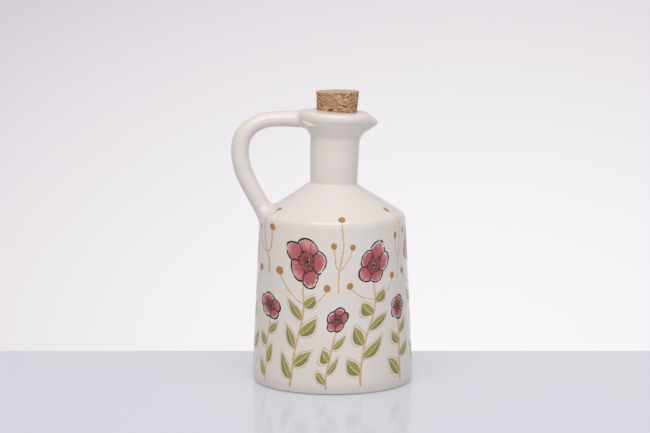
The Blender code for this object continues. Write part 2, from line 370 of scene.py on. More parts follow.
def base_corners():
    """Corners from the middle of the base to the foot of the wall."""
    ring = FOOT_RADIUS - FOOT_RING_INSET
    return [
        (0, 0, 0),
        (ring, 0, FOOT_RING_ROUNDING),
        (ring, FOOT_RING_HEIGHT, FOOT_RING_ROUNDING),
        (FOOT_RADIUS - FOOT_EASE_INSET, FOOT_RING_HEIGHT, FOOT_ROUNDING),
        (FOOT_RADIUS, FOOT_EASE_HEIGHT, FOOT_EASE_ROUNDING),
    ]


def shoulder_corners():
    """Corners over the shoulder to the neck's foot."""
    eased = SHOULDER_RADIUS + WALL_TAPER * SHOULDER_EASE_DROP
    inset = SHOULDER_RADIUS - SHOULDER_EASE_INSET
    return [
        (eased, SHOULDER_HEIGHT - SHOULDER_EASE_DROP, SHOULDER_EASE_ROUNDING),
        (inset, slope_height(inset), SHOULDER_ROUNDING),
        (NECK_RADIUS, NECK_ORIGIN.z - NECK_FOOT_DROP, NECK_FOOT_ROUNDING),
    ]


def collar_corners(angle):
    """Corners up the collar's outside at an angle from the beak, with the neck stood upright."""
    angle = math.remainder(angle, 2 * math.pi)
    pull = math.exp(-((angle / BEAK_SPREAD) ** 2))
    dip = math.exp(-((angle / BEAK_TOP_SPREAD) ** 2))
    backward = (1 - math.cos(angle)) / 2
    corners = mixed(COLLAR_CORNERS, BEAK_CORNERS, np.array((pull, pull, dip, dip))[:, None])
    corners[:, 0] += COLLAR_SWELL * backward * (1, 1, 1, 1 - dip)
    corners[:, 1] += NECK_ORIGIN.z + COLLAR_RISE * backward**2
    return corners.tolist()


def bore_corners(angle):
    """Corners of the mouth and of the bore below the cork."""
    up = NECK_ORIGIN.z
    mouth = cork_radius(COLLAR_TOP) + CORK_GAP
    mouth_height = COLLAR_TOP + MOUTH_RISE * ((1 - math.cos(angle)) / 2) ** 2
    return [
        (mouth, up + mouth_height, MOUTH_ROUNDING),
        (BORE_RADIUS, up + CORK_TOP - CORK_LENGTH, BORE_ROUNDING),
    ]


def cavity_corners():
    """Corners from the end of the bore round the cavity to the middle of the floor."""
    drop = BODY_WALL * SHOULDER_RUN
    corner = SHOULDER_RADIUS - BODY_WALL
    return [
        (BORE_RADIUS, slope_height(BORE_RADIUS) - drop, BORE_ROUNDING),
        (corner, slope_height(corner) - drop, CAVITY_CORNER_ROUNDING),
        (FOOT_RADIUS - BODY_WALL - WALL_TAPER * FLOOR, FLOOR, FLOOR_ROUNDING),
        (0, FLOOR, 0),
    ]


def outer_corners(angle):
    """Corners of the outside and the bore, whose nearest points the handle lands on."""
    return base_corners() + shoulder_corners() + collar_corners(angle) + bore_corners(angle)


def vessel_outline(angle):
    """The vessel's whole section at an angle from the beak, always with the same number of points."""
    base = [SHORT_SIDE_ROWS, 1, 1, 2]
    wall = [LONG_SIDE_ROWS, 2, LONG_SIDE_ROWS // 2, LONG_SIDE_ROWS // 2]
    collar = [SHORT_SIDE_ROWS, SHORT_SIDE_ROWS, SHORT_SIDE_ROWS, 2]
    bore = [4, SHORT_SIDE_ROWS]
    cavity = [SHORT_SIDE_ROWS, SHORT_SIDE_ROWS, SHORT_SIDE_ROWS * 2]
    return rounded(outer_corners(angle) + cavity_corners(), base + wall + collar + bore + cavity)


def smooth_step(value, low, high):
    """0 below low, 1 above high and smooth between, for numbers or arrays. low may be the larger."""
    share = np.clip((value - low) / (high - low), 0, 1)
    return share * share * (3 - 2 * share)


def leaning(upright):
    """Upright points of the neck, moved onto its leaning axis."""
    base = np.array((0, 0, NECK_ORIGIN.z))
    return (upright - base) @ NECK_TURN.T + np.array(NECK_ORIGIN)


def unleaning(points):
    """The reverse of leaning."""
    base = np.array((0, 0, NECK_ORIGIN.z))
    return (points - np.array(NECK_ORIGIN)) @ NECK_TURN + base


# Meshes


def mesh_object(name, vertices, faces, smooth=True):
    """A mesh object in the scene, smooth all over unless told otherwise."""
    mesh = bpy.data.meshes.new(name)
    mesh.from_pydata([tuple(v) for v in vertices], [], faces)
    mesh.validate()
    if smooth:
        mesh.shade_smooth()
    made = bpy.data.objects.new(name, mesh)
    bpy.context.scene.collection.objects.link(made)
    return made


def capped_loft(grid, start, end):
    """Vertices and faces of a closed skin through these rings, with a fan from start and one to end."""
    rows, around = grid.shape[:2]
    vertices = np.concatenate(([start], grid.reshape(-1, 3), [end]))
    last = 1 + (rows - 1) * around
    pairs = [(step, (step + 1) % around) for step in range(around)]
    faces = []
    for low in range(1, last, around):
        high = low + around
        faces += [(low + here, low + after, high + after, high + here) for here, after in pairs]
    for here, after in pairs:
        faces.append((0, 1 + after, 1 + here))
        faces.append((last + here, last + after, len(vertices) - 1))
    return vertices, faces


def vessel_column(angle):
    """The vessel's points in its section at an angle from the beak, without the two on the axis."""
    outline = vessel_outline(angle)[1:-1]
    radius, height = outline[:, 0], outline[:, 1]
    across = radius * math.cos(angle)
    along = radius * math.sin(angle)
    if math.cos(angle) > 0:
        edge = NECK_ORIGIN.z + COLLAR_EDGE
        on_lip = smooth_step(height, edge, edge + CHANNEL_FADE_HEIGHT)
        on_lip = on_lip * smooth_step(radius, CHANNEL_END_RADIUS, CHANNEL_FULL_RADIUS)
        height = height - on_lip * CHANNEL_DEPTH * np.exp(-((along / CHANNEL_HALF_WIDTH) ** 2))
    upright = np.stack((across, along, height), axis=1)
    share = smooth_step(radius, LEAN_START_RADIUS, LEAN_FULL_RADIUS) * (height > SHOULDER_HEIGHT / 2)
    share = np.maximum(share, height > NECK_ORIGIN.z + NECK_FOOT_ROUNDING)
    return upright + (leaning(upright) - upright) * share[:, None]


def make_vessel():
    """Body, shoulder, neck, collar and beak in one skin, with the bore and the cavity inside."""
    turns = 2 * np.pi * np.arange(VESSEL_ROUND) / VESSEL_ROUND
    grid = np.array([vessel_column(turn) for turn in turns]).transpose(1, 0, 2)
    vertices, faces = capped_loft(grid, (0, 0, 0), (0, 0, FLOOR))
    vessel = mesh_object("glazed_vessel", vertices, faces)
    for material in (plain_glaze(), painted_glaze(), bare_clay()):
        vessel.data.materials.append(material)
    outer = vessel_outline(math.pi)[1:-1]
    on_neck = (outer[:, 1] > SHOULDER_HEIGHT) & (outer[:, 0] < NECK_RADIUS + PAINT_NECK_GAP)
    painted_rows = int(np.argmax(on_neck))
    clay_rows = int(np.argmax(outer[:, 1] > CLAY_TOP))
    for face in vessel.data.polygons:
        row = (min(face.vertices) - 1) // VESSEL_ROUND
        if row < clay_rows:
            face.material_index = 2
        elif row < painted_rows:
            face.material_index = 1
    return vessel


def spline(knots, values, where):
    """A natural cubic spline through values at knots, read at where. values has one row for each knot."""
    count = len(knots)
    gaps = np.diff(knots)
    system = np.zeros((count, count))
    right = np.zeros_like(values)
    system[0, 0] = system[-1, -1] = 1
    for i in range(1, count - 1):
        system[i, i - 1] = gaps[i - 1]
        system[i, i] = 2 * (gaps[i - 1] + gaps[i])
        system[i, i + 1] = gaps[i]
        slopes = np.diff(values[i - 1 : i + 2], axis=0) / gaps[i - 1 : i + 1, None]
        right[i] = 6 * (slopes[1] - slopes[0])
    bends = np.linalg.solve(system, right)
    index = np.clip(np.searchsorted(knots, where) - 1, 0, count - 2)
    gap = gaps[index][:, None]
    after = (where - knots[index])[:, None]
    before = gap - after
    return (
        (bends[index] * before**3 + bends[index + 1] * after**3) / (6 * gap)
        + (values[index] / gap - bends[index] * gap / 6) * before
        + (values[index + 1] / gap - bends[index + 1] * gap / 6) * after
    )


def handle_route():
    """Knots along the handle's middle line: across, height and radius."""
    reach = -(SHOULDER_RADIUS + HANDLE_OVERHANG)
    axis = NECK_TURN @ np.array((0, 0, 1))
    top = np.array(NECK_ORIGIN) + axis * (COLLAR_TOP - HANDLE_TOP_DROP) - np.array((COLLAR_RADIUS, 0, 0))
    foot = np.array((HANDLE_FOOT_INSET - SHOULDER_RADIUS, 0, SHOULDER_HEIGHT))
    # Where each knot's way out begins, and its shares of that way, of the height and of the thickness
    shares = [
        (top, 0.24, 1.0, 0.87),
        (top, 0.58, 0.984, 0.87),
        (top, 0.79, 0.926, 0.92),
        (top, 0.965, 0.793, 1.0),
        (top, 1.0, 0.666, 1.0),
        (foot, 0.89, 0.472, 0.99),
        (foot, 0.475, 0.2325, 0.97),
    ]
    route = [(top[0] + HANDLE_BITE, top[2], HANDLE_ROOT_SHARE)]
    for start, out_share, up_share, thickness_share in shares:
        across = mixed(start[0], reach, out_share)
        route.append((across, mixed(foot[2], top[2], up_share), thickness_share))
    route.append((foot[0], foot[2], HANDLE_FOOT_SHARE))
    end = (HANDLE_END_INSET - SHOULDER_RADIUS, SHOULDER_HEIGHT - HANDLE_END_DROP)
    route.append((*end, HANDLE_FOOT_SHARE))
    knots = np.array(route)
    knots[:, 2] *= HANDLE_THICKNESS / 2
    return knots


class Skin:
    """A turned surface given by its outline, upright or on the neck's axis."""

    def __init__(self, outline, into=lambda p: p, out_of=lambda p: p):
        self.low = outline[:-1]
        self.run = outline[1:] - outline[:-1]
        length = np.linalg.norm(self.run, axis=1, keepdims=True)
        self.normal = np.stack((self.run[:, 1], -self.run[:, 0]), axis=1) / length
        self.into = into
        self.out_of = out_of

    def nearest(self, points):
        """Distance outside the skin, the nearest point on it and its outward normal, for each point."""
        local = self.into(points)
        radius = np.hypot(local[:, 0], local[:, 1])
        flat = np.stack((radius, local[:, 2]), axis=1)
        away = flat[:, None, :] - self.low[None]
        share = np.clip((away * self.run).sum(2) / (self.run**2).sum(1), 0, 1)
        foot = self.low[None] + share[..., None] * self.run[None]
        gap = np.linalg.norm(flat[:, None, :] - foot, axis=2)
        best = gap.argmin(1)
        rows = np.arange(len(points))
        spot = foot[rows, best]
        normal = self.normal[best]
        distance = ((flat - spot) * normal).sum(1)
        turn = local[:, :2] / radius[:, None]
        raised = spot + normal * MM
        on = self.out_of(np.concatenate((turn * spot[:, :1], spot[:, 1:]), axis=1))
        tip = self.out_of(np.concatenate((turn * raised[:, :1], raised[:, 1:]), axis=1))
        return distance, on, (tip - on) / MM


def fillet(tube, lengths, skin, size, rows):
    """Bends a tube's end out onto a skin. Returns where each line begins to bend, and the rows after that.

    tube(lengths) gives the points of the tube's lines at a length along each. lengths runs past the skin.
    """
    around = HANDLE_ROUND
    grid = np.array([tube(np.full(around, length))[0] for length in lengths])
    distance = skin.nearest(grid.reshape(-1, 3))[0].reshape(len(lengths), around)
    inside = (distance < 0).argmax(0)
    lines = np.arange(around)
    before, after = distance[inside - 1, lines], distance[inside, lines]
    meets = mixed(lengths[inside - 1], lengths[inside], before / (before - after))
    towards = 1 if lengths[-1] > lengths[0] else -1
    starts = meets - towards * size
    first, radial = tube(starts)
    ahead = tube(starts + towards * LINE_STEP)[0]
    leaving = unit(ahead - first)
    meeting, radial = tube(meets)
    normal = skin.nearest(meeting)[2]
    along = unit(radial - (radial * normal).sum(1, keepdims=True) * normal)
    spread = size * FILLET_LANDING_SHARE
    _, landing, normal = skin.nearest(meeting + along * spread)
    arriving = unit(along - (along * normal).sum(1, keepdims=True) * normal)
    landing = landing - normal * SUNK
    leaving = leaving * size * FILLET_PULL_SHARE
    arriving = arriving * spread * FILLET_PULL_SHARE
    controls = (first, first + leaving, landing - arriving, landing)
    made = []
    for row in range(1, rows + 1):
        t = row / rows
        weights = ((1 - t) ** 3, 3 * t * (1 - t) ** 2, 3 * t * t * (1 - t), t**3)
        made.append(sum(w * c for w, c in zip(weights, controls)))
    centre = landing.mean(0)
    for share in CAP_SHARES:
        _, on, normal = skin.nearest(centre + (landing - centre) * share)
        made.append(on - normal * CAP_DEPTH)
    return starts, made


def make_handle(body_skin, collar_skin, plain, painted):
    """The handle's bent rod, spread onto shoulder and collar. The painting runs over its lowest part."""
    route = handle_route()
    steps = np.hypot(np.diff(route[:, 0]), np.diff(route[:, 1]))
    knots = np.concatenate(((0,), np.cumsum(steps)))
    turns = 2 * np.pi * np.arange(HANDLE_ROUND) / HANDLE_ROUND

    def tube(lengths):
        """Points at these lengths, one for each line round the tube, and the directions outward there."""
        here = spline(knots, route, lengths)
        near = spline(knots, route, lengths + ROUTE_STEP)
        forward = unit((near - here)[:, :2])
        out = np.stack((-forward[:, 1], np.zeros(len(lengths)), forward[:, 0]), axis=1)
        sideways = np.array((0, HANDLE_OVAL, 0))
        radial = np.cos(turns)[:, None] * out + np.sin(turns)[:, None] * sideways
        middle = np.stack((here[:, 0], np.zeros(len(lengths)), here[:, 1]), axis=1)
        return middle + radial * here[:, 2:3], radial

    total = knots[-1]
    down = np.linspace(total * FOOT_SEARCH_SHARE, total, SEARCH_ROWS)
    up = np.linspace(total * TOP_SEARCH_SHARE, 0, SEARCH_ROWS)
    foot_starts, foot_rows = fillet(tube, down, body_skin, FOOT_FILLET, FILLET_ROWS)
    top_starts, top_rows = fillet(tube, up, collar_skin, TOP_FILLET, FILLET_ROWS // 2)
    rows = top_rows[::-1]
    for row in range(HANDLE_ROWS + 1):
        rows.append(tube(mixed(top_starts, foot_starts, row / HANDLE_ROWS))[0])
    rows += foot_rows
    vertices, faces = capped_loft(np.array(rows), np.mean(rows[0], 0), np.mean(rows[-1], 0))
    smear = smear_rows(collar_skin)
    more, more_faces = capped_loft(smear, smear[0].mean(0), smear[-1].mean(0))
    faces += [[index + len(vertices) for index in face] for face in more_faces]
    handle = mesh_object("glazed_handle", np.concatenate((vertices, more)), faces)
    handle.data.set_sharp_from_angle(angle=HANDLE_SHARP)
    handle.data.materials.append(plain)
    handle.data.materials.append(painted)
    points = handle.data.vertices
    for face in handle.data.polygons:
        if max(points[index].co.z for index in face.vertices) < HANDLE_PAINT_TOP:
            face.material_index = 1
    return handle


def smear_rows(collar_skin):
    """Rings round the clay that was smeared from the handle's root along the collar's side."""
    knots = np.array(SMEAR_KNOTS)
    degrees = np.linspace(knots[0, 0], knots[-1, 0], SMEAR_ROWS)
    heights, widths, depths = (spline(knots[:, 0], knots[:, 1:], degrees) * MM).T
    angles = np.radians(degrees)
    flat = SMEAR_REACH * np.stack((np.cos(angles), np.sin(angles)), axis=1)
    upright = np.concatenate((flat, (heights + NECK_ORIGIN.z)[:, None]), axis=1)
    _, on, normal = collar_skin.nearest(leaning(upright))
    forward = unit(np.gradient(on, axis=0))
    beside = unit(np.cross(forward, normal))
    turns = 2 * np.pi * np.arange(SMEAR_ROUND) / SMEAR_ROUND
    across = beside[:, None] * (widths[:, None] * np.cos(turns))[..., None]
    raised = normal[:, None] * (depths[:, None] * np.sin(turns))[..., None]
    return on[:, None] + across + raised


def cork_grid():
    """Rings of the plain cork: over its bottom, up its side and over its top."""
    bottom = CORK_TOP - CORK_LENGTH
    shares = [(step + 0.5) / CORK_END_ROWS for step in range(CORK_END_ROWS)]
    rows = [(cork_radius(bottom) * share, bottom) for share in shares]
    for step in range(CORK_SIDE_ROWS + 1):
        height = bottom + CORK_LENGTH * step / CORK_SIDE_ROWS
        rows.append((cork_radius(height), height))
    rows += [(CORK_TOP_RADIUS * share, CORK_TOP) for share in reversed(shares)]
    turns = 2 * np.pi * np.arange(CORK_ROUND) / CORK_ROUND
    return np.array([[(r * math.cos(t), r * math.sin(t), h) for t in turns] for r, h in rows])


def bark_wobble(points, random):
    """How far the bark's uneven growth has shifted what lies in it, at each point."""
    wobble = np.zeros_like(points)
    for octave in range(BARK_OCTAVES):
        scale = BARK_WAVE / 2**octave
        for axis in range(3):
            waves = random.normal(0, 1, (BARK_WAVE_COUNT, 3)) / scale
            phases = random.uniform(0, 2 * np.pi, BARK_WAVE_COUNT)
            wobble[:, axis] += np.sin(points @ waves.T + phases).sum(1) * BARK_WAVE_SHARE * scale
    return wobble


def bark_holes(points, wobble, random):
    """How dark and how deep the streaks and pits lying across the bark are, at each point."""
    moved = points + wobble
    dark = np.zeros(len(points))
    depth = np.zeros(len(points))
    for index in range(STREAK_COUNT + PIT_COUNT):
        centre = points[random.integers(len(points))]
        spans = STREAK_SPANS if index < STREAK_COUNT else PIT_SPANS
        length, thickness, deep = (random.uniform(*span) * MM for span in spans)
        tilt = random.normal(0, HOLE_TILT)
        around = unit(np.array((-centre[1], centre[0], 0)))
        along = around * math.cos(tilt) + np.array((0, 0, math.sin(tilt)))
        away = moved - centre
        run = away @ along
        rest = np.sqrt(np.maximum((away**2).sum(1) - run**2, 0))
        share = 1 - smooth_step(np.hypot(run / length, rest / thickness), HOLE_RIM_SHARE, 1.0)
        dark = np.maximum(dark, share * min(1, deep / HOLE_DARK_DEPTH))
        depth = np.maximum(depth, deep * share)
    return dark, depth


def make_cork():
    """The cork: cut from bark, with dark streaks lying across it, small pits and crisp edges."""
    random = np.random.default_rng(CORK_SEED)
    bottom = CORK_TOP - CORK_LENGTH
    grid = cork_grid()
    points = grid.reshape(-1, 3)
    radius = np.hypot(points[:, 0], points[:, 1])
    most = np.array([cork_radius(height) for height in points[:, 2]])
    side_share = smooth_step(radius / most, CORK_EDGE_SHARE, 1.0)
    top_share = smooth_step(points[:, 2], CORK_TOP - CORK_EDGE, CORK_TOP)
    low_share = smooth_step(points[:, 2], bottom + CORK_EDGE, bottom)
    out = np.zeros_like(points)
    out[:, :2] = points[:, :2] / radius[:, None] * side_share[:, None]
    out[:, 2] = top_share - low_share
    out = unit(out)
    wobble = bark_wobble(points, random)
    dark, depth = bark_holes(points, wobble, random)
    depth += BARK_GRAIN_DEPTH * (1 + wobble[:, 0] / (BARK_GRAIN_SHARE * BARK_WAVE)).clip(0, 2)
    depth *= (1 - CORK_TOP_CUT * top_share) * (1 - CORK_LOW_CUT * low_share)
    depth += CORK_EDGE_WEAR * side_share * (top_share + low_share)
    points -= out * depth[:, None]
    raised = smooth_step(points[:, 2], CORK_TOP - CORK_SLANT_DEPTH, CORK_TOP)
    points[:, 2] += raised * (points[:, 0] + CORK_TOP_RADIUS) * math.tan(CORK_SLANT)
    middle = CORK_TOP + CORK_TOP_RADIUS * math.tan(CORK_SLANT)
    vertices, faces = capped_loft(grid, (0, 0, bottom), (0, 0, middle))
    vertices = vertices @ NECK_TURN.T + np.array(NECK_ORIGIN)
    cork = mesh_object("cork", vertices, faces)
    store = cork.data.attributes.new(CORK_DARK_NAME, "FLOAT", "POINT")
    store.data.foreach_set("value", np.concatenate(((0,), dark, (0,))).astype(np.float32))
    return cork


# Materials


class Term:
    """A number that a material's nodes work out, used with the usual signs of arithmetic."""

    def __init__(self, tree, socket):
        self.tree = tree
        self.socket = socket

    def made(self, kind, *others):
        """A new term: the result of this kind of sum on this term and the others."""
        node = self.tree.nodes.new("ShaderNodeMath")
        node.operation = kind
        for socket, given in zip(node.inputs, (self,) + others):
            connect(given, socket)
        return Term(self.tree, node.outputs[0])

    def __add__(self, other):
        return self.made("ADD", other)

    def __sub__(self, other):
        return self.made("SUBTRACT", other)

    def __rsub__(self, other):
        return self.made("MULTIPLY_ADD", -1, other)

    def __mul__(self, other):
        return self.made("MULTIPLY", other)

    def __truediv__(self, other):
        return self.made("DIVIDE", other)

    def __abs__(self):
        return self.made("ABSOLUTE")

    __radd__ = __add__
    __rmul__ = __mul__

    def ramp(self, low, high):
        """0 at low, 1 at high and smooth between. low may be the larger, and either may be a term."""
        node = self.tree.nodes.new("ShaderNodeMapRange")
        node.interpolation_type = "SMOOTHSTEP"
        connect(self, node.inputs["Value"])
        connect(low, node.inputs["From Min"])
        connect(high, node.inputs["From Max"])
        return Term(self.tree, node.outputs["Result"])

    def stroke(self, half_width, softness=LINE_SOFTNESS):
        """A line drawn where this distance is under half_width."""
        return abs(self).ramp(half_width + softness, half_width - softness)

    def random(self, step):
        """Three random numbers from 0 to 1 that change with this whole number."""
        node = self.tree.nodes.new("ShaderNodeTexWhiteNoise")
        node.noise_dimensions = "1D"
        connect(self + step, node.inputs["W"])
        return split(self.tree, node.outputs["Color"])


def connect(given, socket):
    """Puts a term, a socket or a plain value into a socket."""
    if isinstance(given, Term):
        given = given.socket
    if isinstance(given, bpy.types.NodeSocket):
        socket.id_data.links.new(given, socket)
    else:
        socket.default_value = given


def split(tree, socket):
    """The three parts of a colour or a place, as terms."""
    node = tree.nodes.new("ShaderNodeSeparateXYZ")
    connect(socket, node.inputs[0])
    return [Term(tree, output) for output in node.outputs]


def join(tree, parts):
    """A place made of three terms or numbers."""
    node = tree.nodes.new("ShaderNodeCombineXYZ")
    for given, socket in zip(parts, node.inputs):
        connect(given, socket)
    return node.outputs[0]


def length_of(first, second):
    """The length of a step with these two parts."""
    return (first * first + second * second).made("SQRT")


def choose(share, one, zero):
    """one where share is 1, and zero where it is 0."""
    node = share.tree.nodes.new("ShaderNodeMix")
    connect(share, node.inputs[0])
    connect(zero, node.inputs[2])
    connect(one, node.inputs[3])
    return Term(share.tree, node.outputs[0])


def layered(colour, *layers):
    """A colour with others laid over it in turn. Each layer is its share, from 0 to 1, and its colour."""
    for share, over in layers:
        node = share.tree.nodes.new("ShaderNodeMix")
        node.data_type = "RGBA"
        for given, index in ((share, 0), (colour, 6), (over, 7)):
            if isinstance(given, tuple):
                given = (*given, 1)
            connect(given, node.inputs[index])
        colour = node.outputs[2]
    return colour


def noise(tree, place, scale, detail=2):
    """A noise texture's node, whose cells are about one metre divided by scale."""
    node = tree.nodes.new("ShaderNodeTexNoise")
    for given, name in ((place, "Vector"), (scale, "Scale"), (detail, "Detail")):
        connect(given, node.inputs[name])
    return node


def noise_term(tree, place, scale, detail=2):
    """A noise texture's value, around 0.5."""
    return Term(tree, noise(tree, place, scale, detail).outputs[0])


def object_place(tree):
    """The place on the object, in its own metres."""
    return tree.nodes.new("ShaderNodeTexCoord").outputs["Object"]


def add_bump(shader, height, distance, strength=1):
    """Bumps on a surface, this many metres deep where the term for their height is one."""
    bump = height.tree.nodes.new("ShaderNodeBump")
    for given, name in ((distance, "Distance"), (strength, "Strength"), (height, "Height")):
        connect(given, bump.inputs[name])
    connect(bump.outputs[0], shader.inputs["Normal"])


def new_material(name):
    """A material with its node tree and its main shader."""
    made = bpy.data.materials.new(name)
    made.use_nodes = True
    return made, made.node_tree, made.node_tree.nodes["Principled BSDF"]


def glaze_base(tree, shader, place):
    """The glaze's sheen and faint waves, and its unpainted colour, a little warmer where it is thinner."""
    cloud = noise_term(tree, place, scale=22, detail=3)
    gloss = noise_term(tree, place, scale=60)
    waves = noise_term(tree, place, scale=110, detail=1)
    connect(gloss.ramp(0.2, 0.8) * 0.05 + 0.07, shader.inputs["Roughness"])
    add_bump(shader, waves, distance=0.08 * MM, strength=0.35)
    return layered(GLAZE, (cloud.ramp(0.35, 0.68), GLAZE_WARM))


def plain_glaze():
    """Warm white glaze without paint."""
    made, tree, shader = new_material("glaze")
    connect(glaze_base(tree, shader, object_place(tree)), shader.inputs["Base Color"])
    return made


def bare_clay():
    """The unglazed ring that the pot stands on."""
    made, tree, shader = new_material("bare_clay")
    grit = noise_term(tree, object_place(tree), scale=900, detail=4)
    connect(layered(CLAY, (grit.ramp(0.35, 0.7), CLAY_GRIT)), shader.inputs["Base Color"])
    shader.inputs["Roughness"].default_value = 0.9
    add_bump(shader, grit, distance=0.1 * MM)
    return made


def paint_leaves(colour, side, height, short, key, rough):
    """Leaves in pairs up a stem: two olive washes, with a mid-rib and a loose outline in tan."""
    sign = side.made("SIGN")
    sizes = (choose(short, *pair) for pair in zip(SHORT_LEAVES, TALL_LEAVES))
    start, period, stagger, last, length, loss, width = sizes
    level = height - sign * stagger - start
    index = ((level + 3) / period).made("FLOOR").made("MAXIMUM", 0).made("MINIMUM", last)
    level = level - period * index
    longer, steeper, bent = (index * 3 + key * 11 + sign).random(0.5)
    length = (length - index * loss) * (longer * 0.24 + 0.86)
    width = width * (bent * 0.3 + 0.85)
    angle = steeper * 0.34 + 0.66
    cosine, sine = angle.made("COSINE"), angle.made("SINE")
    away = abs(side)
    along = ((away * cosine + level * sine) / length).made("MINIMUM", 1.25)
    arch = along * (1 - along)
    across = (level * cosine - away * sine) / width + arch * (bent * 1.4 + 0.4)
    edge = (abs(across) - arch * (4.6 - along * 1.6)) * width
    fill = (edge + (rough - 0.5) * 1.1).ramp(0.2, -0.2)
    tone = (across + (rough - 0.5) * 1.5).ramp(-0.2, 0.2)
    rib = (across * width).stroke(0.3) * along.ramp(0.97, 0.8) * along.ramp(-0.02, 0.02)
    outline = (edge - 0.8 - bent * 0.5).stroke(rough * 0.5 + 0.1, 0.15) * rough.ramp(0.28, 0.4)
    outline = outline * along.ramp(-0.06, 0.02) * along.ramp(1.2, 1.1)
    olive = layered(OLIVE_DARK, (tone, OLIVE))
    return layered(colour, (fill * 0.95, olive), (rib.made("MAXIMUM", outline), TAN))


def stalk(side, height, low, rise, reach):
    """Distance from a curved stalk that leaves the middle at low and ends this far up and out."""
    share = side / reach
    slope = share * (2 * rise / reach)
    return (height - low - share * share * rise) / (slope * slope + 1).made("SQRT")


def paint_blossom(tree, colour, side, height, radius, key, rough, place):
    """A five-petalled blossom: a rose wash, darker inside, under loose ink outlines, with a golden eye."""
    sector = 2 * math.pi / PETALS
    turn = side.made("ARCTAN2", height) + key * 2.3 + 0.4
    petal = (turn / sector + 0.5).made("FLOOR")
    within = turn - petal * sector
    longer, redder, fuller = (petal.made("FLOORED_MODULO", PETALS) + key * 7).random(0.25)
    away = length_of(side, height)
    fold = abs(within)
    between = sector / 2 - fold
    size = radius * (longer * 0.16 + 0.88)
    spot = away * fold.made("COSINE") - size * 0.54
    edge = length_of(away * fold.made("SINE"), spot) - size * 0.46
    gap = away * between.made("SINE")
    inner = length_of(gap, away * between.made("COSINE") - radius * 0.27) - radius * 0.19
    streaks = noise_term(tree, join(tree, (within * 9 + petal * 7, away * 0.16, key)), scale=1, detail=3)
    wash = (edge + (rough - 0.5) * 2.2 + (fuller - 0.5) * 0.8).ramp(0.35, -0.35)
    depth = away / radius + (streaks - 0.5) * 1.1 + (redder - 0.5) * 0.25
    tone = layered(
        ROSE,
        (depth.ramp(0.62, 1.08), ROSE_PALE),
        (depth.ramp(0.42, 0.18), ROSE_DARK),
        ((inner + (rough - 0.5)).ramp(0.1, -0.3) * 0.55, ROSE_DARK),
    )
    eye = (away + (rough - 0.5) * 0.8).ramp(radius * 0.12 + 0.2, radius * 0.12 - 0.2)
    weight = noise_term(tree, place, scale=260)
    pen = weight.ramp(0.25, 0.75) * 0.3 + 0.36
    ink = (edge - 0.75).stroke(pen) * weight.ramp(0.3, 0.4)
    parting = gap.stroke(pen * 0.8) * away.ramp(radius * 0.3, radius * 0.36) * edge.ramp(0.9, 0.7)
    inside = inner.stroke(pen * 0.7) * weight.ramp(0.66, 0.54)
    dots = length_of(away - radius * 0.185, away * (fold - sector / 4).made("SINE")).ramp(0.55, 0.3)
    for line in (parting, inside, dots):
        ink = ink.made("MAXIMUM", line)
    return layered(colour, (wash * 0.96, tone), (eye, GOLD), (ink, INK))


def unrolled(tree, place, rough):
    """How far round and how far up the painting a place lies, in millimetres.

    The shoulder's slope is laid out above the wall. Slow drifts bend all this, so that plants differ.
    """
    drift = split(tree, noise(tree, place, scale=15, detail=0).outputs[1])
    wander = split(tree, noise(tree, place, scale=29, detail=1).outputs[1])
    x, y, z = split(tree, place)
    shifts = [(drift[i] - 0.5) * PAINT_DRIFT[i] + (wander[i] - 0.5) * PAINT_WANDER[i] for i in (0, 1)]
    across = x.made("ARCTAN2", y * -1) * PAINT_RADIUS + shifts[0] + (rough - 0.5) * 0.5
    edge = SHOULDER_HEIGHT / MM
    z = z / MM
    height = z.made("MINIMUM", edge) + (z - edge).made("MAXIMUM", 0) * (SHOULDER_RUN / SHOULDER_RISE)
    return across, height + shifts[1] * height.ramp(-4, 22)


def plant(key, gap, height, sizes):
    """Distance to the side of a plant's swaying stem, and the height and radius of its blossom."""
    middle, radius, bend, sway = sizes
    up, wide, start = key.random(0.35)
    gap = gap + (height / bend + start * 2 * math.pi).made("SINE") * sway
    return gap, up * MIDDLE_SPREAD + middle, wide * BLOSSOM_SPREAD + radius


def spray_lines(side, tall_side, short_side, short, height, rough):
    """Arms that leave the tall stems, and above each short plant an upright line with curled stalks."""
    upright = short * side.stroke(rough * 0.5 + 0.18) * height.ramp(67, 69) * height.ramp(112, 110)
    arms = stalk(tall_side, height, low=58, rise=12, reach=17).stroke(rough * 0.5 + 0.14)
    arms = arms * tall_side.ramp(17.2, 16.6)
    curls = stalk(short_side, height, low=82, rise=13, reach=6.5).stroke(rough * 0.4 + 0.14)
    curls = curls * short_side.ramp(6.7, 6.3)
    return upright.made("MAXIMUM", arms).made("MAXIMUM", curls)


def berry_gap(side, height, berry):
    """Distance outside a berry's edge."""
    out, up, radius = berry
    return length_of(side - out, height - up) - radius


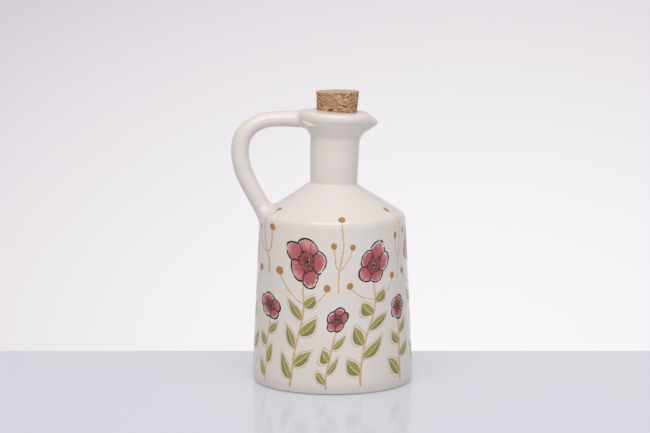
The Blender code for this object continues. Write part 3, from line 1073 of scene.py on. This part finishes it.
def painted_glaze():
    """The glaze of wall and shoulder, painted all round with blossoms on leafy stems and berry sprays."""
    made, tree, shader = new_material("painted_glaze")
    place = object_place(tree)
    colour = glaze_base(tree, shader, place)
    # Darker and warmer towards the foot: painted shade near the table, and clay showing through the
    # thinner glaze
    colour = layered(colour, (split(tree, place)[2].ramp(FOOT_SHADE_AND_TINT_HEIGHT, 0) * 0.65, CLAY))
    rough = noise_term(tree, place, scale=620, detail=3)
    across, height = unrolled(tree, place, rough)

    period = 2 * math.pi * PAINT_RADIUS / PAINT_REPEATS
    place_round = across / period
    nearest = (place_round + 0.5).made("FLOOR")
    cell = place_round.made("FLOOR")
    short_key = (nearest + PAINT_REPEATS // 2).made("FLOORED_MODULO", PAINT_REPEATS)
    tall_key = (cell + PAINT_REPEATS // 2).made("FLOORED_MODULO", PAINT_REPEATS) + PAINT_REPEATS
    from_short = across - nearest * period
    short = abs(from_short).made("LESS_THAN", SHORT_HALF_WIDTH)
    short_parts = plant(short_key, from_short, height, SHORT_PLANT)
    tall_parts = plant(tall_key, across - (cell + 0.5) * period, height, TALL_PLANT)
    side, middle, radius = (choose(short, *parts) for parts in zip(short_parts, tall_parts))
    key = choose(short, short_key, tall_key)
    short_side, tall_side = abs(short_parts[0]), abs(tall_parts[0])

    stem = side.stroke(height * -STEM_THINNING + STEM_HALF_WIDTH, 0.14)
    stem = stem * height.ramp(3.2, 5.5) * (height - middle).ramp(radius * -0.7, radius * -0.8)
    lines = stem.made("MAXIMUM", spray_lines(side, tall_side, short_side, short, height, rough))
    berries = berry_gap(tall_side, height, ARM_BERRY)
    for berry in (SPRAY_BERRY, CURL_BERRY):
        berries = berries.made("MINIMUM", berry_gap(short_side, height, berry))
    dabs = berries + (rough - 0.5) * 0.7

    tan = layered(TAN, (rough.ramp(0.35, 0.7), TAN_DEEP))
    colour = layered(colour, (berries.ramp(1.7, 0.1) * 0.5, HALO), (lines, tan))
    colour = paint_leaves(colour, side, height, short, key, rough)
    colour = layered(colour, (dabs.ramp(0.18, -0.18), BERRY), (dabs.stroke(0.22, 0.15), BERRY_EDGE))
    colour = paint_blossom(tree, colour, side, height - middle, radius, key, rough, place)
    connect(colour, shader.inputs["Base Color"])
    return made


def cork_material():
    """Warm brown bark, mottled, with flecks and streaks, dark in its holes and pale where it was cut."""
    made, tree, shader = new_material("cork")
    place = object_place(tree)
    x, y, z = split(tree, place)
    flat = join(tree, (x, y, z * 2.4))
    patches = noise_term(tree, flat, scale=130, detail=3)
    streaks = noise_term(tree, flat, scale=330, detail=3)
    flecks = noise_term(tree, place, scale=1500, detail=3)
    busy = patches.ramp(0.4, 0.5) * 0.85 + 0.15
    facing = split(tree, tree.nodes.new("ShaderNodeNewGeometry").outputs["Normal"])[2]
    holes = tree.nodes.new("ShaderNodeAttribute")
    holes.attribute_name = CORK_DARK_NAME
    colour = layered(
        CORK_DEEP,
        (patches.ramp(0.36, 0.66), CORK_BROWN),
        (streaks.ramp(0.5, 0.62) * busy, CORK_STREAK),
        (streaks.ramp(0.45, 0.33) * 0.75, CORK_PALE),
        (flecks.ramp(0.55, 0.7) * 0.55, CORK_FLECK),
        (flecks.ramp(0.44, 0.32) * 0.5, CORK_FLECK_DARK),
        (abs(facing).ramp(0.6, 0.95) * 0.45, CORK_CUT),
        (Term(tree, holes.outputs["Fac"]).ramp(0.15, 0.9), CORK_HOLE),
    )
    connect(colour, shader.inputs["Base Color"])
    connect(flecks * 0.2 + 0.75, shader.inputs["Roughness"])
    add_bump(shader, flecks + streaks * 0.6, distance=0.25 * MM, strength=0.7)
    return made


def table_material():
    """Glossy pale table, lit a little through itself, which keeps shadows on it soft."""
    made, _, shader = new_material("table")
    for name, value in (
        ("Base Color", TABLE_COLOUR),
        ("Roughness", 0.12),
        ("Specular IOR Level", 0.2),
        ("Emission Color", TABLE_GLOW),
        ("Emission Strength", 1),
    ):
        shader.inputs[name].default_value = value
    return made


def backdrop_material():
    """A pale backdrop that is its own light, brightest low on the right."""
    made, tree, _ = new_material("backdrop")
    tree.nodes.clear()
    x, _, z = split(tree, object_place(tree))
    across = (x - BACKDROP_BRIGHT_X) / BACKDROP_FADE_X
    up = (z - BACKDROP_BRIGHT_Z) / BACKDROP_FADE_Z
    share = (across * across + up * up).made("MINIMUM", BACKDROP_MOST_FADE)
    mix = tree.nodes.new("ShaderNodeMix")
    mix.data_type = "RGBA"
    mix.clamp_factor = False
    for given, index in ((share, 0), (BACKDROP_BRIGHT, 6), (BACKDROP_FADED, 7)):
        connect(given, mix.inputs[index])
    glow = tree.nodes.new("ShaderNodeEmission")
    connect(mix.outputs[2], glow.inputs["Color"])
    out = tree.nodes.new("ShaderNodeOutputMaterial")
    connect(glow.outputs[0], out.inputs["Surface"])
    return made


# Stage, light and camera


def make_stage():
    """The table and the backdrop behind it."""
    wide, front, back = TABLE_HALF_WIDTH, TABLE_FRONT, TABLE_BACK
    plan = ((-wide, front), (wide, front), (wide, back), (-wide, back))
    corners = [(x, y, z) for z in (-TABLE_THICKNESS, 0) for x, y in plan]
    faces = [(3, 2, 1, 0), (4, 5, 6, 7), (0, 1, 5, 4), (1, 2, 6, 5), (2, 3, 7, 6), (3, 0, 4, 7)]
    table = mesh_object("table", corners, faces, smooth=False)
    table.data.materials.append(table_material())
    wide, low, high, back = BACKDROP_HALF_WIDTH, BACKDROP_LOW, BACKDROP_HIGH, BACKDROP_PLACE
    corners = [(-wide, back, low), (wide, back, low), (wide, back, high), (-wide, back, high)]
    backdrop = mesh_object("backdrop", corners, [(0, 1, 2, 3)], smooth=False)
    backdrop.data.materials.append(backdrop_material())


def area_light(name, place, aim, width, height, glow, colour):
    """A rectangular light at place that faces aim, given by how bright its face looks."""
    data = bpy.data.lights.new(name, "AREA")
    data.shape = "RECTANGLE"
    data.size = width
    data.size_y = height
    data.energy = glow * math.pi * width * height
    data.color = colour
    lamp = bpy.data.objects.new(name, data)
    bpy.context.scene.collection.objects.link(lamp)
    lamp.location = place
    lamp.rotation_euler = (Vector(aim) - Vector(place)).to_track_quat("-Z", "Y").to_euler()


def make_lights():
    """A softbox high in front, a low wide light, one overhead, one on the right, and the room's light."""
    for light in LIGHTS:
        area_light(*light)
    world = bpy.data.worlds.new("room")
    world.use_nodes = True
    back = world.node_tree.nodes["Background"]
    back.inputs["Color"].default_value = ROOM_COLOUR
    back.inputs["Strength"].default_value = ROOM_STRENGTH
    bpy.context.scene.world = world


def make_camera():
    """The photograph's camera: a long lens, slightly above and looking slightly down."""
    data = bpy.data.cameras.new("camera")
    data.lens = LENS_MM
    data.sensor_width = SENSOR_MM
    data.clip_end = 20
    camera = bpy.data.objects.new("camera", data)
    bpy.context.scene.collection.objects.link(camera)
    camera.location = CAMERA_PLACE
    camera.rotation_euler = (math.pi / 2 - CAMERA_DIP, 0, 0)
    bpy.context.scene.camera = camera


def main():
    """Dresses the frame's pieces and sets the stage, the lights and the camera."""
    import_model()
    bpy.context.scene.view_settings.view_transform = "Standard"
    corners = outer_corners(math.pi)
    outline = rounded(corners, [SKIN_SIDE_ROWS] * (len(corners) - 1))
    body_skin = Skin(outline)
    collar_skin = Skin(outline, unleaning, leaning)
    vessel = make_vessel()
    handle = make_handle(body_skin, collar_skin, *vessel.data.materials[:2])
    cork = make_cork()
    cork.data.materials.append(cork_material())
    for piece, body, nodes, slot in (
        (vessel, "vessel", ("body", "neck"), "glaze"),
        (handle, "vessel", ("handle",), "glaze"),
        (cork, "stopper", ("cork_stopper",), "cork"),
    ):
        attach(piece, body)
        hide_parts(*nodes)
    make_stage()
    make_lights()
    make_camera()


main()
